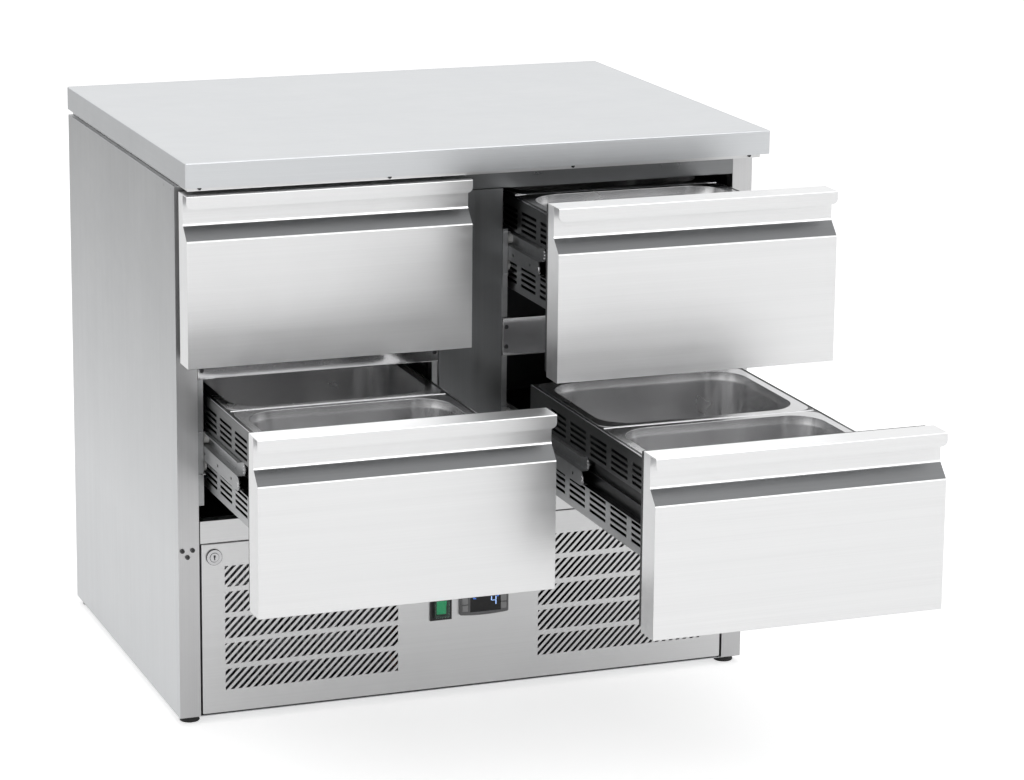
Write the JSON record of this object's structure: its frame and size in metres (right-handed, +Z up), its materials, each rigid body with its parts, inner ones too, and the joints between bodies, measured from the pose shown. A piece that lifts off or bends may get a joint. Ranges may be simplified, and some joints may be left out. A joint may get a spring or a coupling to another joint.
{
  "type": "refrigerated counter",
  "caption": "Low stainless refrigerated counter with pull-out drawers for food pans over a vented machine room.",
  "frame": {"origin": "on the floor, under the middle of the worktop", "axes": "X to the right seen from the front, Y to the back, so the drawers open towards -Y, Z up"},
  "size_m": [0.9, 1.298, 0.85],
  "materials": {
    "worktop_steel": "brushed along the front",
    "casing_steel": "brushed",
    "front_steel": "finely brushed",
    "liner_steel": "satin",
    "bright_steel": "bright rolled",
    "zinc_steel": "zinc plated",
    "pan_steel": "satin deep drawn",
    "foam": "rigid foam",
    "black_rubber": "matt",
    "gasket_rubber": "soft satin",
    "chrome": "polished",
    "black_plastic": "fine grain",
    "grey_plastic": "fine grain",
    "green_plastic": "translucent gloss",
    "button_plastic": "soft touch",
    "black_paint": "semi gloss",
    "copper": "dull copper",
    "fin_aluminium": "fins",
    "white_plastic": "satin"
  },
  "bodies": {
    "cabinet": {"worktop_shell": "worktop_steel", "worktop_core": "foam", "top_tray": "casing_steel", "left_side_casing": "casing_steel", "right_side_casing": "casing_steel", "back_casing": "casing_steel", "base_tray": "casing_steel", "inner_liner": "liner_steel", "insulation": "foam", "top_rail": "casing_steel", "base_rail": "casing_steel", "mullion": "casing_steel", "crossbars": "bright_steel", "frame_screws": "chrome", "runner_frames": "zinc_steel", "feet": "black_rubber", "compressor": "black_paint", "condenser": "fin_aluminium", "evaporator": "fin_aluminium", "evaporator_cover": "white_plastic", "pipework": "copper", "electrical_box": "grey_plastic", "cable_gland": "black_plastic", "evaporation_tray": "white_plastic"},
    "top_left_drawer": {"top_left_front_shell": "front_steel", "top_left_front_core": "foam", "top_left_gasket": "gasket_rubber", "top_left_basket": "bright_steel", "top_left_pans": "pan_steel"},
    "top_left_slide_pair": {"top_left_slides": "zinc_steel"},
    "bottom_left_drawer": {"bottom_left_front_shell": "front_steel", "bottom_left_front_core": "foam", "bottom_left_gasket": "gasket_rubber", "bottom_left_basket": "bright_steel", "bottom_left_pans": "pan_steel"},
    "bottom_left_slide_pair": {"bottom_left_slides": "zinc_steel"},
    "top_right_drawer": {"top_right_front_shell": "front_steel", "top_right_front_core": "foam", "top_right_gasket": "gasket_rubber", "top_right_basket": "bright_steel", "top_right_pans": "pan_steel"},
    "top_right_slide_pair": {"top_right_slides": "zinc_steel"},
    "bottom_right_drawer": {"bottom_right_front_shell": "front_steel", "bottom_right_front_core": "foam", "bottom_right_gasket": "gasket_rubber", "bottom_right_basket": "bright_steel", "bottom_right_pans": "pan_steel"},
    "bottom_right_slide_pair": {"bottom_right_slides": "zinc_steel"},
    "machine_panel": {"machine_panel": "front_steel", "lock_body": "chrome", "switch_bezel": "black_plastic", "controller_bezel": "grey_plastic"},
    "lock_cylinder": {"lock_cylinder": "chrome"},
    "switch_rocker": {"switch_rocker": "green_plastic"},
    "condenser_fan": {"condenser_fan": "black_plastic"},
    "evaporator_fan": {"evaporator_fan": "black_plastic"},
    "left_lower_button": {"left_lower_button": "button_plastic"},
    "left_upper_button": {"left_upper_button": "button_plastic"},
    "right_lower_button": {"right_lower_button": "button_plastic"},
    "right_upper_button": {"right_upper_button": "button_plastic"}
  },
  "joints": [
    {"name": "top_left_drawer_travel", "type": "slide", "parent": "cabinet", "child": "top_left_drawer", "axis": [0, -1, 0], "range_m": [0, 0.6]},
    {"name": "top_left_slide_travel", "type": "slide", "parent": "cabinet", "child": "top_left_slide_pair", "axis": [0, -1, 0], "range_m": [0, 0.3]},
    {"name": "bottom_left_drawer_travel", "type": "slide", "parent": "cabinet", "child": "bottom_left_drawer", "axis": [0, -1, 0], "range_m": [-0.344, 0.256]},
    {"name": "bottom_left_slide_travel", "type": "slide", "parent": "cabinet", "child": "bottom_left_slide_pair", "axis": [0, -1, 0], "range_m": [-0.172, 0.128]},
    {"name": "top_right_drawer_travel", "type": "slide", "parent": "cabinet", "child": "top_right_drawer", "axis": [0, -1, 0], "range_m": [-0.241, 0.359]},
    {"name": "top_right_slide_travel", "type": "slide", "parent": "cabinet", "child": "top_right_slide_pair", "axis": [0, -1, 0], "range_m": [-0.1205, 0.1795]},
    {"name": "bottom_right_drawer_travel", "type": "slide", "parent": "cabinet", "child": "bottom_right_drawer", "axis": [0, -1, 0], "range_m": [-0.6, 0]},
    {"name": "bottom_right_slide_travel", "type": "slide", "parent": "cabinet", "child": "bottom_right_slide_pair", "axis": [0, -1, 0], "range_m": [-0.3, 0]},
    {"name": "machine_panel_hinge", "type": "hinge", "parent": "cabinet", "child": "machine_panel", "pos_m": [0.409, -0.282, 0.142], "axis": [0, 0, 1], "range_deg": [0, 100]},
    {"name": "lock_turn", "type": "hinge", "parent": "machine_panel", "child": "lock_cylinder", "pos_m": [-0.396, -0.278, 0.2526], "axis": [0, 1, 0], "range_deg": [0, 90]},
    {"name": "switch_rock", "type": "hinge", "parent": "machine_panel", "child": "switch_rocker", "pos_m": [-0.045, -0.287, 0.141], "axis": [1, 0, 0], "range_deg": [-14, 0]},
    {"name": "condenser_fan_spin", "type": "hinge", "parent": "cabinet", "child": "condenser_fan", "pos_m": [-0.25, -0.127, 0.1112], "axis": [0, 1, 0], "continuous": true},
    {"name": "evaporator_fan_spin", "type": "hinge", "parent": "cabinet", "child": "evaporator_fan", "pos_m": [0.234, 0.261, 0.661], "axis": [0, 1, 0], "continuous": true},
    {"name": "left_lower_button_press", "type": "slide", "parent": "machine_panel", "child": "left_lower_button", "axis": [0, 1, 0], "range_m": [0, 0.0009], "stiffness_N_per_m": 500},
    {"name": "left_upper_button_press", "type": "slide", "parent": "machine_panel", "child": "left_upper_button", "axis": [0, 1, 0], "range_m": [0, 0.0009], "stiffness_N_per_m": 500},
    {"name": "right_lower_button_press", "type": "slide", "parent": "machine_panel", "child": "right_lower_button", "axis": [0, 1, 0], "range_m": [0, 0.0009], "stiffness_N_per_m": 500},
    {"name": "right_upper_button_press", "type": "slide", "parent": "machine_panel", "child": "right_upper_button", "axis": [0, 1, 0], "range_m": [0, 0.0009], "stiffness_N_per_m": 500}
  ],
  "couplings": [
    {"joint": "top_left_slide_travel", "follows": "top_left_drawer_travel", "ratio": 0.5},
    {"joint": "bottom_left_slide_travel", "follows": "bottom_left_drawer_travel", "ratio": 0.5},
    {"joint": "top_right_slide_travel", "follows": "top_right_drawer_travel", "ratio": 0.5},
    {"joint": "bottom_right_slide_travel", "follows": "bottom_right_drawer_travel", "ratio": 0.5}
  ]
}
